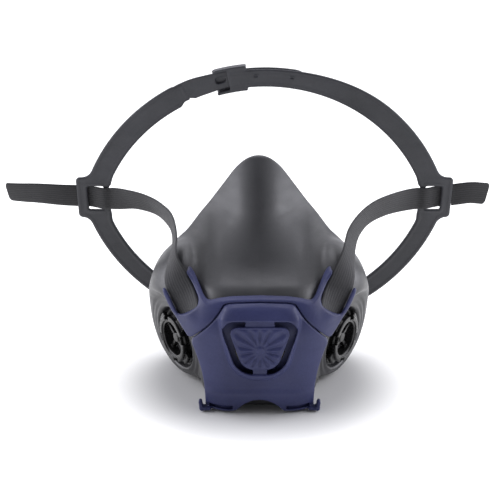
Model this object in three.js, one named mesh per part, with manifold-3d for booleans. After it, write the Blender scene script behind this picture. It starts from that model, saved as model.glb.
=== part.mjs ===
// Half-mask respirator with cradle harness. Units mm, +Z up, front faces -Y.
// Facepiece, yoke, valve cover, two bayonet ports, straps, buckles and an open cradle ring.
import * as THREE from 'three';
import { mergeVertices } from 'three/addons/utils/BufferGeometryUtils.js';
import Module from 'manifold-3d';

const wasm = await Module();
wasm.setup();

// ---------- driving sizes ----------
const skin = 2.0;                 // facepiece wall
const webbing = { width: 15, thick: 1.6 };
const valveZ = 40.5;              // height of the exhale valve
const bossTilt = 6;               // degrees the cover's boss looks up
const valveBore = 9.5;
const yokeGap = 1.1;              // yoke stands off the rubber by this
const plateTop = 2.5;             // outer level of the yoke's plate behind the cover
const coverGap = 3.0;             // inner level of the cover
const shellTop = 5.0;             // outer level of yoke arms and cover
const portSeat = [46.2, 0.4, 27.8]; // centre of a port's seat plane, right side
const portDir = [0.83, -0.55, -0.10];
const portBore = 10.5;
const ring = { shift: 4, y: 84, z: 0.4, lean: 10, thick: 1.8 };
const crown = { s: 62.5, inner: 110, outer: 124 };
const neck = { s: 121, inner: 107.5, outer: 121 };
const frame = {
  x0: 101.3, x1: 122.1, s0: 84.2, s1: 112.4,
  slotX0: 104.6, slotX1: 115, slotS0: 89.6, slotS1: 107.2,
};
const tailLength = 46;
const pegPitch = 22;

// ---------- small helpers ----------
const vec = (x, y, z) => new THREE.Vector3(x, y, z);
const rad = (d) => (d * Math.PI) / 180;
const clamp01 = (t) => Math.min(1, Math.max(0, t));
const smin = (a, b, k) => {
  const h = clamp01(0.5 + (0.5 * (b - a)) / k);
  return b * (1 - h) + a * h - k * h * (1 - h);
};
const smax = (a, b, k) => -smin(-a, -b, k);

function toManifold(geometry) {
  const g = geometry.clone();
  g.deleteAttribute('normal');
  g.deleteAttribute('uv');
  const m = mergeVertices(g, 1e-4);
  const verts = new Float32Array(m.attributes.position.array);
  const tris = new Uint32Array(m.index.array);
  let solid = new wasm.Manifold(new wasm.Mesh({ numProp: 3, vertProperties: verts, triVerts: tris }));
  if (solid.volume() < 0) {
    for (let i = 0; i < tris.length; i += 3) {
      const t = tris[i];
      tris[i] = tris[i + 1];
      tris[i + 1] = t;
    }
    solid = new wasm.Manifold(new wasm.Mesh({ numProp: 3, vertProperties: verts, triVerts: tris }));
  }
  return solid;
}
const join = (a, ...rest) => rest.reduce((m, b) => m.add(b), a);
const cut = (a, ...rest) => rest.reduce((m, b) => m.subtract(b), a);
const meet = (a, ...rest) => rest.reduce((m, b) => m.intersect(b), a);

function fromManifold(solid) {
  const mesh = solid.getMesh();
  const g = new THREE.BufferGeometry();
  const pos = new Float32Array(mesh.numVert * 3);
  for (let i = 0; i < mesh.numVert; i += 1) {
    for (let k = 0; k < 3; k += 1) pos[3 * i + k] = mesh.vertProperties[mesh.numProp * i + k];
  }
  g.setAttribute('position', new THREE.BufferAttribute(pos, 3));
  g.setIndex(new THREE.BufferAttribute(new Uint32Array(mesh.triVerts), 1));
  g.computeVertexNormals();
  return g;
}
function indexed(points, tris) {
  const g = new THREE.BufferGeometry();
  g.setAttribute('position', new THREE.Float32BufferAttribute(points.flatMap((p) => [p.x, p.y, p.z]), 3));
  g.setIndex(tris);
  return g;
}
// Closed sections joined one after another, flat fans on both ends.
function swept(rows) {
  const m = rows[0].length;
  const points = rows.flat();
  const tris = [];
  for (let i = 0; i + 1 < rows.length; i += 1) {
    for (let j = 0; j < m; j += 1) {
      const k = (j + 1) % m;
      const [a, b, c, d] = [i * m + j, i * m + k, (i + 1) * m + k, (i + 1) * m + j];
      tris.push(a, b, c, a, c, d);
    }
  }
  const last = (rows.length - 1) * m;
  for (let j = 1; j + 1 < m; j += 1) {
    tris.push(0, j + 1, j);
    tris.push(last, last + j, last + j + 1);
  }
  return toManifold(indexed(points, tris));
}
// Meridians that all start at one pole and end at another, wrapped round into a closed bowl.
function bowl(meridians) {
  const n = meridians.length;
  const m = meridians[0].length;
  const points = [meridians[0][0], meridians[0][m - 1]];
  for (const line of meridians) points.push(...line.slice(1, m - 1));
  const at = (i, k) => 2 + (i % n) * (m - 2) + (k - 1);
  const tris = [];
  for (let i = 0; i < n; i += 1) {
    tris.push(0, at(i, 1), at(i + 1, 1));
    tris.push(1, at(i + 1, m - 2), at(i, m - 2));
    for (let k = 1; k < m - 2; k += 1) {
      tris.push(at(i, k), at(i, k + 1), at(i + 1, k + 1));
      tris.push(at(i, k), at(i + 1, k + 1), at(i + 1, k));
    }
  }
  return toManifold(indexed(points, tris));
}
// Outline in the front plane (x, z), extruded along Y.
function prismY(outline, y0, y1) {
  const shape = new THREE.Shape(outline.map(([x, z]) => new THREE.Vector2(x, z)));
  const g = new THREE.ExtrudeGeometry(shape, { depth: y1 - y0, bevelEnabled: false });
  g.rotateX(Math.PI / 2);
  g.translate(0, y1, 0);
  return toManifold(g);
}
function block(w, d, h, x, y, z) {
  const g = new THREE.BoxGeometry(w, d, h);
  g.translate(x, y, z);
  return toManifold(g);
}
const mirrored = (outline) => [...outline, ...outline.slice().reverse().map(([x, z]) => [-x, z])];
function lathe(profile, segments, matrix) {
  const pts = [...profile, profile[0]].map(([r, h]) => new THREE.Vector2(r, h));
  const g = new THREE.LatheGeometry(pts, segments);
  g.applyMatrix4(matrix);
  return toManifold(g);
}
// Frame whose Y axis is the given direction, standing at the given point.
function axisFrame(point, dir) {
  const y = dir.clone().normalize();
  const x = vec(0, 0, 1).cross(y).normalize();
  const z = x.clone().cross(y);
  return new THREE.Matrix4().makeBasis(x, y, z).setPosition(point);
}

// ---------- facepiece form ----------
const flank = vec(0.68, -0.50, 0.54).normalize();
const flankReach = 54;
const seatDir = vec(...portDir).normalize();
const seatPoint = vec(...portSeat);
function roundBox(x, y, z, c, h, r) {
  const q = [Math.abs(x - c[0]) - h[0] + r, Math.abs(y - c[1]) - h[1] + r, Math.abs(z - c[2]) - h[2] + r];
  const out = Math.hypot(Math.max(q[0], 0), Math.max(q[1], 0), Math.max(q[2], 0));
  return out + Math.min(Math.max(...q), 0) - r;
}
function egg(x, y, z, c, r, n) {
  let k = Math.abs((x - c[0]) / r[0]) ** n;
  k += Math.abs((y - c[1]) / r[1]) ** n;
  k += Math.abs((z - c[2]) / r[2]) ** n;
  return (k ** (1 / n) - 1) * Math.min(...r);
}
// 0 below a, 1 above b, smooth between
function rise(v, a, b) {
  const t = clamp01((v - a) / (b - a));
  return t * t * (3 - 2 * t);
}
// Distance-like field of the rubber's outside: nose wedge, cheeks, muzzle, port seats, flat chin.
function form(px, y, z) {
  const x = Math.abs(px);
  const right = flank.x * x + flank.y * y + flank.z * z - flankReach;
  const left = -flank.x * x + flank.y * y + flank.z * z - flankReach;
  // the ridge broadens on its way down but keeps its line
  const fall = rise(-z, -100, -64);
  let nose = smax(right, left, 24 + 24 * fall) - 6 * fall * (1 - rise(x, 20, 44)) * rise(z, 48, 66);
  nose = smax(nose, x - 60, 12);
  nose = smax(nose, 50 - z, 16);
  // the cheek sinks towards the nose, so that the nose's sides run down without a shelf
  const sink = 9 * (1 - rise(x, 24, 46)) * rise(z, 60, 82);
  const cheek = egg(x, y, z, [32, 19, 41], [36, 44, 42], 2.4) + sink;
  const taper = 1 + (0.1 * (z - 30)) / 30;
  const muzzle = roundBox(x / taper, y, z, [0, -1, 30], [36, 43, 35], 18);
  let d = smin(nose, cheek, 7 + 20 * (1 - rise(x, 30, 46)) * rise(z, 54, 70));
  d = smin(d, muzzle, 10 + 4 * rise(z, 60, 70) * (1 - rise(x, 24, 40)));
  const q = vec(x, y, z).sub(seatPoint);
  const h = q.dot(seatDir);
  const r = q.addScaledVector(seatDir, -h).length();
  d = smin(d, smax(Math.abs(h + 10) - 10, r - 19, 3), 5);
  d = smax(d, -smax(5.5 - h, r - 30, 8), 6);
  d = smax(d, -smax(-h, r - 18.8, 2), 2.5);
  return smax(d, -z, 4);
}
const heart = vec(0, 14, 42);
function reach(dir, level) {
  let lo = 2;
  let hi = 140;
  for (let i = 0; i < 30; i += 1) {
    const mid = (lo + hi) / 2;
    const d = form(heart.x + dir.x * mid, heart.y + dir.y * mid, heart.z + dir.z * mid);
    if (d < level) lo = mid;
    else hi = mid;
  }
  return heart.clone().addScaledVector(dir, (lo + hi) / 2);
}
function frontY(x, z, level) {
  let y = -90;
  for (let i = 0; i < 80; i += 1) {
    const d = form(x, y, z) - level;
    if (d < 1e-3) return y;
    y += Math.max(0.4 * d, 0.004);
  }
  return y;
}
function slope(p) {
  const e = 0.2;
  const d = (a, b, c) => form(p.x + a, p.y + b, p.z + c);
  return vec(d(e, 0, 0) - d(-e, 0, 0), d(0, e, 0) - d(0, -e, 0), d(0, 0, e) - d(0, 0, -e)).normalize();
}
const rimY = (x, z) => 38 + 0.09 * (z - 60) + 0.0012 * x * x;
function aim(phi, theta) {
  return vec(Math.sin(phi) * Math.sin(theta), -Math.cos(phi), Math.sin(phi) * Math.cos(theta));
}
function rimAngle(theta, level) {
  let lo = 0.3;
  let hi = 2.6;
  for (let i = 0; i < 26; i += 1) {
    const mid = (lo + hi) / 2;
    const p = reach(aim(mid, theta), level);
    if (p.y < rimY(p.x, p.z)) lo = mid;
    else hi = mid;
  }
  return (lo + hi) / 2;
}
const turns = 48;
const rings = 12;
const thetas = Array.from({ length: turns }, (_, i) => (2 * Math.PI * i) / turns);
function facepieceBody() {
  const lines = thetas.map((theta) => {
    const stop = rimAngle(theta, 0);
    const outer = [];
    const inner = [];
    for (let k = 0; k <= rings; k += 1) {
      const phi = (stop * k) / rings;
      outer.push(reach(aim(phi, theta), 0));
      inner.push(reach(aim(phi, theta), -skin));
    }
    // rolled lip: quarter turn outside, then a sealing flange running inward
    const edge = outer[rings];
    const hub = vec(0, edge.y, 50);
    const away = edge.clone().sub(hub);
    const span = away.length();
    away.normalize();
    const roll = 3.6;
    const turn = edge.clone().addScaledVector(away, -roll);
    const lip = [];
    for (const a of [35, 65, 90]) {
      const p = turn.clone().addScaledVector(away, roll * Math.cos(rad(a)));
      lip.push(p.add(vec(0, roll * Math.sin(rad(a)), 0)));
    }
    const flange = 0.13 * span;
    const tip = turn.clone().addScaledVector(away, -flange).add(vec(0, roll - 0.22 * flange, 0));
    lip.push(tip);
    lip.push(tip.clone().add(vec(0, -1.3, 0)));
    lip.push(turn.clone().addScaledVector(away, -0.2).add(vec(0, roll - skin, 0)));
    lip.push(turn.clone().addScaledVector(away, (roll - skin) * 0.75).add(vec(0, (roll - skin) * 0.5, 0)));
    return [...outer, ...lip, ...inner.reverse()];
  });
  return bowl(lines);
}
// Shell that follows the rubber between two levels, out to a given share of the rim angle.
function liner(low, high, share, steps) {
  const lines = thetas.map((theta) => {
    const stop = share * rimAngle(theta, 0);
    const outer = [];
    const inner = [];
    for (let k = 0; k <= steps; k += 1) {
      const phi = (stop * k) / steps;
      outer.push(reach(aim(phi, theta), high));
      inner.push(reach(aim(phi, theta), low));
    }
    return [...outer, ...inner.reverse()];
  });
  return bowl(lines);
}

// ---------- port parts (local Y is the outward axis, origin on the seat plane) ----------
const sides = [['left', -1], ['right', 1]];
function portFrame(side) {
  const point = vec(side * seatPoint.x, seatPoint.y, seatPoint.z);
  return axisFrame(point, vec(side * seatDir.x, seatDir.y, seatDir.z));
}
const cylinder = (r, h0, h1, segments, matrix) => {
  const g = new THREE.CylinderGeometry(r, r, h1 - h0, segments);
  g.translate(0, (h0 + h1) / 2, 0);
  g.applyMatrix4(matrix);
  return toManifold(g);
};
function localBlock(w, h0, h1, d, angle, offset, matrix) {
  const g = new THREE.BoxGeometry(w, h1 - h0, d);
  g.translate(offset, (h0 + h1) / 2, 0);
  g.rotateY(angle);
  g.applyMatrix4(matrix);
  return toManifold(g);
}
const lugTurns = [37, 129, 219, 309];  // lugs of a right-hand port, degrees from outward-back towards up
function portBody(matrix, side) {
  const profile = [
    [portBore, -6], [12.6, -6], [12.6, 0.4], [17, 0.4], [17, 2.2], [13.2, 2.2],
    [13.2, 5.2], [14.4, 5.8], [14.4, 7.4], [13.9, 8], [portBore, 8],
  ];
  let body = lathe(profile, 30, matrix);
  const lugRing = lathe([[12.6, 3.4], [17.2, 3.4], [17.2, 6.2], [12.6, 6.2]], 30, matrix);
  for (const turn of lugTurns) {
    const angle = rad(side > 0 ? turn : 180 - turn);
    const gap = rad(side > 0 ? turn + 38 : 142 - turn);
    body = join(body, meet(lugRing, localBlock(9, 3.2, 6.4, 8, angle, 16.5, matrix)));
    body = cut(body, localBlock(4, 5.4, 9, 5, gap, 14.2, matrix));
    body = join(body, localBlock(portBore + 0.4, 2.2, 4.6, 2.2, angle, (portBore + 0.4) / 2, matrix));
  }
  const hub = cylinder(3, 2.2, 4.9, 20, matrix);
  const stud = cylinder(1.2, -1.6, 2.6, 12, matrix);
  const bead = cylinder(2.2, -2.4, -1.5, 12, matrix);
  return join(body, hub, stud, bead);
}
const retainerProfile = [[12.9, -2.6], [16.6, -2.6], [16.6, -3.6], [14.6, -5.4], [12.9, -5.4]];
const inhaleFlapProfile = [[1.7, 1.2], [9.9, 1.2], [9.9, 1.8], [1.7, 1.8]];

// ---------- exhale valve ----------
const valveDir = vec(0, -1, 0);
const bossDir = vec(0, -Math.cos(rad(bossTilt)), Math.sin(rad(bossTilt)));
const valvePoint = vec(0, frontY(0, valveZ, 0), valveZ);
const valveMatrix = axisFrame(valvePoint, valveDir);
function valveSeat() {
  const profile = [
    [valveBore, -3.2], [12.3, -3.2], [12.3, 3.6], [13.8, 3.6],
    [13.8, 4.2], [10.6, 4.2], [10.6, 3.2], [valveBore, 3.2],
  ];
  let seat = lathe(profile, 32, valveMatrix);
  for (const angle of [45, 135]) {
    seat = join(seat, localBlock(2 * valveBore + 0.6, 0.2, 2.2, 1.8, rad(angle), 0, valveMatrix));
  }
  const hub = cylinder(2.6, 0.2, 2.6, 20, valveMatrix);
  const stud = cylinder(1.1, 2.4, 5.8, 12, valveMatrix);
  return join(seat, hub, stud);
}
const exhaleFlapProfile = [[1.6, 4.5], [11.6, 4.5], [11.6, 5], [1.6, 5]];

// ---------- yoke and cover ----------
const yokeArm = [
  [0, 66.9], [14, 66.5], [22.5, 65.4], [28.5, 63.6], [34, 68.6], [38.8, 74.4], [40.6, 75.2], [41.4, 74.2],
  [34.2, 65.2], [34.6, 61.6], [38.6, 58], [43.2, 54.6], [46.6, 54.9], [52.8, 64.6], [54.4, 65.2],
  [55.2, 63.6],
  [50, 55], [46.6, 50.4], [42.6, 45.4], [39.4, 41.6], [32.4, 48.9], [25.9, 55.2], [21.4, 60.8], [19.6, 64],
  [14, 64.7], [0, 65.2],
];
const coverSide = [
  [0, 64.7], [13.8, 64.2], [19.1, 63.5], [20.9, 60.4], [25.5, 54.8], [32, 48.5], [38.9, 41.2],
  [35.6, 34], [32.6, 25], [31.2, 17], [30.6, 10], [30.8, 1.2], [13.6, 1.2], [9, 6.6], [4, 9], [0, 9.4],
];
const backPlate = [
  [0, 65.4], [19, 64.6], [26, 56], [31, 50.5], [35.8, 42], [31, 33], [27, 20], [26, 12], [0, 13],
];
// Boss: rounded trapezoid standing on the valve axis. Half width at the top and bottom, height range.
const boss = { top: 21.6, low: 13, up: 19.2, down: 18.6, corner: 8, front: 9.4, wall: 2 };
const groove = { top: 18.8, low: 10.4, up: 15.4, down: 14.8, corner: 7, wide: 3.6 };
function trapezoid(top, low, up, down, corner) {
  const pts = [[-top, up], [top, up], [low, -down], [-low, -down]];
  const out = [];
  for (let i = 0; i < 4; i += 1) {
    const p = new THREE.Vector2(...pts[i]);
    const a = new THREE.Vector2(...pts[(i + 3) % 4]).sub(p);
    const b = new THREE.Vector2(...pts[(i + 1) % 4]).sub(p);
    a.setLength(corner);
    b.setLength(corner);
    for (const t of [0, 0.25, 0.5, 0.75, 1]) {
      const w0 = (1 - t) ** 2;
      const w2 = t ** 2;
      out.push([p.x + a.x * w0 + b.x * w2, p.y + a.y * w0 + b.y * w2]);
    }
  }
  return out;
}
// Outline in the boss plane (across, up), extruded along its normal from h0 to h1.
const bossUp = vec(0, Math.sin(rad(-bossTilt)) * -1, Math.cos(rad(bossTilt)));
const bossPlane = new THREE.Matrix4().makeBasis(vec(1, 0, 0), bossUp, bossDir).setPosition(valvePoint);
const bossMatrix = axisFrame(valvePoint, bossDir);
function onValve(outline, h0, h1) {
  const shape = new THREE.Shape(outline.map(([x, y]) => new THREE.Vector2(x, y)));
  const g = new THREE.ExtrudeGeometry(shape, { depth: h1 - h0, bevelEnabled: false });
  g.translate(0, 0, h0);
  g.applyMatrix4(bossPlane);
  return toManifold(g);
}
function bossBody() {
  const base = trapezoid(boss.top, boss.low, boss.up, boss.down, boss.corner);
  const face = trapezoid(boss.top - 1.6, boss.low - 1.4, boss.up - 1.8, boss.down - 1.2, boss.corner);
  const at = (outline, h) => outline.map(([x, y]) => vec(x, y, h).applyMatrix4(bossPlane));
  return swept([at(base, -1), at(base, boss.front - 1.6), at(face, boss.front)]);
}
function grooveCut() {
  const g = groove;
  const outer = onValve(trapezoid(g.top, g.low, g.up, g.down, g.corner), 0, 12);
  const plate = trapezoid(
    g.top - g.wide,
    g.low - g.wide + 1,
    g.up - g.wide + 1,
    g.down - g.wide,
    g.corner - 2.5,
  );
  const inner = onValve(plate, -1, 13);
  const bridge = (w, y0, y1) => onValve([[-w, y0], [w, y0], [w, y1], [-w, y1]], -1, 13);
  return cut(outer, inner, bridge(7.4, 8, 30), bridge(3.6, -30, -8));
}

// ---------- webbing ----------
// Ribbon through stations {c: centre, w: width direction}; smooth between stations.
function stations(list, count) {
  const centre = new THREE.CatmullRomCurve3(list.map((s) => s.c), false, 'centripetal');
  const wide = new THREE.CatmullRomCurve3(list.map((s) => s.w.clone().normalize()), false, 'centripetal');
  const out = [];
  for (let i = 0; i <= count; i += 1) {
    const t = i / count;
    const c = centre.getPoint(t);
    const along = centre.getTangent(t);
    const w = wide.getPoint(t);
    w.addScaledVector(along, -w.dot(along)).normalize();
    out.push({ c, w, n: w.clone().cross(along).normalize(), along });
  }
  return out;
}
function ribbon(list, width, thick, ends) {
  const rows = list.map((s, i) => {
    const atEnd = ends && i === list.length - 1 ? 1.6 : 0;
    const a = width / 2 - atEnd;
    const b = thick / 2;
    const r = Math.min(0.35, b * 0.5);
    const uv = [
      [-a, -b + r], [-a + r, -b], [a - r, -b], [a, -b + r],
      [a, b - r], [a - r, b], [-a + r, b], [-a, b - r],
    ];
    return uv.map(([u, v]) => s.c.clone().addScaledVector(s.w, u).addScaledVector(s.n, v));
  });
  return swept(rows);
}

// ---------- cradle ring plane: x across, s up the plane, f towards the front ----------
const ringUp = vec(0, -Math.sin(rad(ring.lean)), Math.cos(rad(ring.lean)));
const ringFront = vec(0, -Math.cos(rad(ring.lean)), -Math.sin(rad(ring.lean)));
const ringMatrix = new THREE.Matrix4().makeBasis(vec(1, 0, 0), ringUp, ringFront);
ringMatrix.setPosition(vec(ring.shift, ring.y, ring.z));
const onRing = (x, s, f) => vec(x, s, f).applyMatrix4(ringMatrix);
const half = ring.thick / 2;
const val = (q, t) => (typeof q === 'function' ? q(t) : q);
// Band round a centre (0, sc) from angle a to b in degrees; radii and front/back may vary along it.
function arcBand(sc, r0, r1, a, b, steps, f0, f1) {
  const rows = [];
  for (let i = 0; i <= steps; i += 1) {
    const t = i / steps;
    const angle = rad(a + (b - a) * t);
    const [ri, ro, fb, ff] = [val(r0, t), val(r1, t), val(f0, t), val(f1, t)];
    const c = 0.35;
    const sec = [
      [ri + c, fb], [ro - c, fb], [ro, fb + c], [ro, ff - c],
      [ro - c, ff], [ri + c, ff], [ri, ff - c], [ri, fb + c],
    ];
    rows.push(sec.map(([r, f]) => onRing(r * Math.cos(angle), sc + r * Math.sin(angle), f)));
  }
  return swept(rows);
}
function onRingPlane(outline, f0, f1) {
  const shape = new THREE.Shape(outline.map(([x, s]) => new THREE.Vector2(x, s)));
  const g = new THREE.ExtrudeGeometry(shape, { depth: f1 - f0, bevelEnabled: false });
  g.translate(0, 0, f0);
  g.applyMatrix4(ringMatrix);
  return toManifold(g);
}
const rectangle = (x0, x1, s0, s1) => [[x0, s0], [x1, s0], [x1, s1], [x0, s1]];
function roundedRect(x0, x1, s0, s1, r) {
  const out = [];
  const corners = [[x1 - r, s1 - r, 0], [x0 + r, s1 - r, 90], [x0 + r, s0 + r, 180], [x1 - r, s0 + r, 270]];
  for (const [cx, cs, a] of corners) {
    for (const k of [0, 30, 60, 90]) {
      out.push([cx + r * Math.cos(rad(a + k)), cs + r * Math.sin(rad(a + k))]);
    }
  }
  return out;
}
function slot(x, s, w, h, angle) {
  const out = [];
  const r = h / 2;
  for (const [cx, a] of [[w / 2 - r, -90], [-w / 2 + r, 90]]) {
    for (const k of [0, 45, 90, 135, 180]) {
      out.push([cx + r * Math.cos(rad(a + k)), r * Math.sin(rad(a + k))]);
    }
  }
  const [c, n] = [Math.cos(rad(angle)), Math.sin(rad(angle))];
  return out.map(([u, v]) => [x + u * c - v * n, s + u * n + v * c]);
}

// ---------- build ----------
const group = new THREE.Group();
group.name = 'respirator';
function put(name, solid, colour, roughness, metalness) {
  const material = new THREE.MeshStandardMaterial({ color: colour, roughness, metalness: metalness || 0 });
  material.name = `${name}_finish`;
  const mesh = new THREE.Mesh(fromManifold(solid), material);
  mesh.name = name;
  group.add(mesh);
}
const rubber = 0x3b3b3e;
const black = 0x141416;
const blue = 0x35365c;
const cradle = 0x3a3a3d;
const cloth = 0x2e2e30;

// facepiece with its three holes
let face = facepieceBody();
face = cut(face, cylinder(12.9, -12, 8, 40, valveMatrix));
for (const [, side] of sides) {
  const m = portFrame(side);
  face = cut(face, cylinder(18.2, 0, 14, 32, m));
  face = join(face, lathe([[12, -skin], [19, -skin], [19, 0], [12, 0]], 32, m));
  face = cut(face, cylinder(17.4, -9, -skin, 32, m), cylinder(13, -12, 6, 32, m));
}
put('facepiece', face, rubber, 0.55);

// webbing centre lines; the lower end sits in the yoke's cup
const hingePoint = vec(47, 0, 68.6);
hingePoint.y = frontY(hingePoint.x, hingePoint.z, 2.6);
// free stretch of each strap: centre, then width direction, for a right-hand strap
const strapRun = {
  left: [
    [50.3, -11, 79.2, -0.43, -0.60, 0.67],
    [49.6, 0, 86.6, -0.23, -0.50, 0.83],
    [51.6, 13, 92.8, -0.04, -0.34, 0.94],
    [57.4, 28, 95.8, 0.15, -0.32, 0.93],
    [67.1, 43, 98, 0.24, -0.38, 0.89],
    [81.2, 55, 98.7, 0.18, -0.38, 0.91],
  ],
  right: [
    [51.5, -8, 79.8, -0.51, -0.44, 0.74],
    [54.7, 5, 87.2, -0.35, -0.34, 0.87],
    [59.1, 15, 91.8, -0.14, -0.30, 0.94],
    [67.9, 29, 96, 0.04, -0.27, 0.96],
    [82.4, 45, 98, 0.08, -0.26, 0.96],
  ],
};
function strapStations(side) {
  const on = (x, z, level) => vec(side * x, frontY(x, z, level), z);
  const w = (x, y, z) => vec(side * x, y, z);
  // width direction laid flat against the rubber
  const flat = (c, x, y, z) => {
    const g = slope(c);
    const u = w(x, y, z);
    return u.addScaledVector(g, -u.dot(g)).normalize();
  };
  const lift = 2.5;
  const hinge = vec(side * hingePoint.x, hingePoint.y, hingePoint.z);
  return [
    { c: on(38, 54.4, lift), w: flat(on(38, 54.4, 0), -0.80, 0.10, 0.52) },
    { c: on(40.8, 58.8, lift), w: flat(on(40.8, 58.8, 0), -0.80, 0.10, 0.52) },
    { c: on(44, 64, lift), w: flat(on(44, 64, 0), -0.84, 0.05, 0.46) },
    { c: hinge, w: flat(hinge, -0.86, 0.0, 0.42) },
    ...strapRun[side > 0 ? 'right' : 'left'].map(([x, y, z, a, b, c]) => (
      { c: vec(side * x, y, z), w: w(a, b, c).normalize() }
    )),
  ];
}
const ringW = ringUp.clone();
function buckleStations(side) {
  // over the inner rail, through the slot, behind the outer bar
  const s = 98.4;
  const front = half + 1.2;
  const back = -half - 1.2;
  return [
    { c: onRing(side * 99, s, front + 0.1), w: ringW },
    { c: onRing(side * 104.8, s, front + 0.1), w: ringW },
    { c: onRing(side * 109.6, s, 0), w: ringW },
    { c: onRing(side * 114.6, s, back), w: ringW },
    { c: onRing(side * 119, s, back - 0.1), w: ringW },
    { c: onRing(side * 121.4, s, back - 0.1), w: ringW },
  ];
}
const anchors = {};
for (const [name, side] of sides) {
  const all = stations([...strapStations(side), ...buckleStations(side)], 90);
  // the anchored stretch ends just short of the hinge line and the free stretch starts just past it
  const toHinge = all.map((p) => p.c.distanceTo(vec(side * hingePoint.x, hingePoint.y, hingePoint.z)));
  const hinge = toHinge.indexOf(Math.min(...toHinge));
  const anchorList = all.slice(0, hinge - 1);
  const freeList = all.slice(hinge + 1).filter((_, i, l) => i % 2 === 0 || i === l.length - 1);
  anchors[name] = ribbon(anchorList, webbing.width + 0.9, webbing.thick + 0.9);
  put(`strap_anchor_${name}`, ribbon(anchorList, webbing.width, webbing.thick), cloth, 0.95);
  put(`strap_${name}`, ribbon(freeList, webbing.width, webbing.thick), cloth, 0.95);
  const tail = [];
  for (let i = 0; i <= 8; i += 1) {
    const u = i / 8;
    const bend = 3.2 * Math.sin(Math.PI * u * 0.9);
    const out = side * (123.4 + (tailLength - 2) * u);
    tail.push({ c: onRing(out, 98.4 + 1.5 * u - 2.4 * u * u, -half - 1.3 + bend), w: ringW });
  }
  put(`strap_tail_${name}`, ribbon(stations(tail, 10), webbing.width, webbing.thick, true), cloth, 0.95);
}

// yoke: arms over the cover seam, thin plate behind the cover
const armShell = liner(yokeGap, shellTop, 0.9, 12);
const plateShell = liner(yokeGap, plateTop, 0.9, 12);
let yoke = meet(armShell, prismY(mirrored(yokeArm), -80, 20));
yoke = join(yoke, meet(plateShell, prismY(mirrored(backPlate), -80, 0)));
yoke = cut(yoke, cylinder(13.1, -6, 9, 40, valveMatrix), anchors.left, anchors.right);
for (const [, side] of sides) yoke = cut(yoke, cylinder(21.4, -12, 30, 40, portFrame(side)));
put('yoke', yoke, blue, 0.5);

// cover: shell, raised boss with the outlet groove, generic fins, latch hooks and slots
const coverShell = liner(coverGap, shellTop, 0.9, 12);
let cover = meet(coverShell, prismY(mirrored(coverSide), -80, 0));
const core = liner(-8, coverGap, 0.9, 12);
cover = join(cover, cut(meet(bossBody(), prismY(mirrored(coverSide), -80, -30)), core));
const hollowShape = trapezoid(boss.top - 2, boss.low - 1.8, boss.up - 2.2, boss.down - 2, boss.corner - 1.6);
const hollow = onValve(hollowShape, -4, boss.front - boss.wall);
cover = cut(cover, hollow, grooveCut());
for (let i = 0; i < 8; i += 1) {
  const angle = (Math.PI * (i + 0.5)) / 4;
  cover = join(cover, localBlock(4.4, boss.front - 0.6, boss.front + 0.7, 0.9, angle, 5.4, bossMatrix));
}
cover = join(cover, cylinder(1.8, boss.front - 0.6, boss.front + 0.7, 16, bossMatrix));
const liftY = frontY(28, 8, shellTop);
for (const [, side] of sides) {
  const foot = block(5.2, 5, 3.6, side * 30.4, liftY + 1.6, 2.6);
  const hook = block(1.8, 5, 6.6, side * 33.2, liftY + 1.6, 4.1);
  cover = join(cover, foot, hook);
  cover = cut(cover, block(11.5, 14, 1.8, side * 21.5, frontY(22, 4, shellTop), 3.9));
}
put('valve_cover', cover, blue, 0.45);

put('exhale_valve_seat', valveSeat(), black, 0.5);
put('exhale_valve_flap', lathe(exhaleFlapProfile, 32, valveMatrix), 0x55555a, 0.6);

for (const [name, side] of sides) {
  const m = portFrame(side);
  put(`port_${name}`, portBody(m, side), black, 0.4);
  put(`port_retainer_${name}`, lathe(retainerProfile, 28, m), black, 0.5);
  put(`inhale_flap_${name}`, lathe(inhaleFlapProfile, 28, m), 0x55555a, 0.6);
}

// neck band and buckle frames
const below = onRingPlane(rectangle(-140, 140, frame.s0 - 0.3, 190), -8, 8);
const neckArc = arcBand(neck.s, neck.inner, neck.outer, -165, -15, 36, -half, half);
put('neck_band', cut(neckArc, below), cradle, 0.5);
for (const [name, side] of sides) {
  const [x0, x1] = side > 0 ? [frame.x0, frame.x1] : [-frame.x1, -frame.x0];
  const [h0, h1] = side > 0 ? [frame.slotX0, frame.slotX1] : [-frame.slotX1, -frame.slotX0];
  const body = onRingPlane(roundedRect(x0, x1, frame.s0, frame.s1, 2.2), -half, half);
  const hole = onRingPlane(roundedRect(h0, h1, frame.slotS0, frame.slotS1, 1), -5, 5);
  put(`buckle_${name}`, cut(body, hole), cradle, 0.5);
}

// crown: left half with a holed tongue, right half with a keeper and pegs
const above = onRingPlane(rectangle(-140, 140, 40, frame.s1 + 1.3), -8, 8);
const behind = -half - 0.4 - ring.thick;
const ease = (t, a, b) => {
  const u = clamp01((t - a) / (b - a));
  return u * u * (3 - 2 * u);
};
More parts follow.
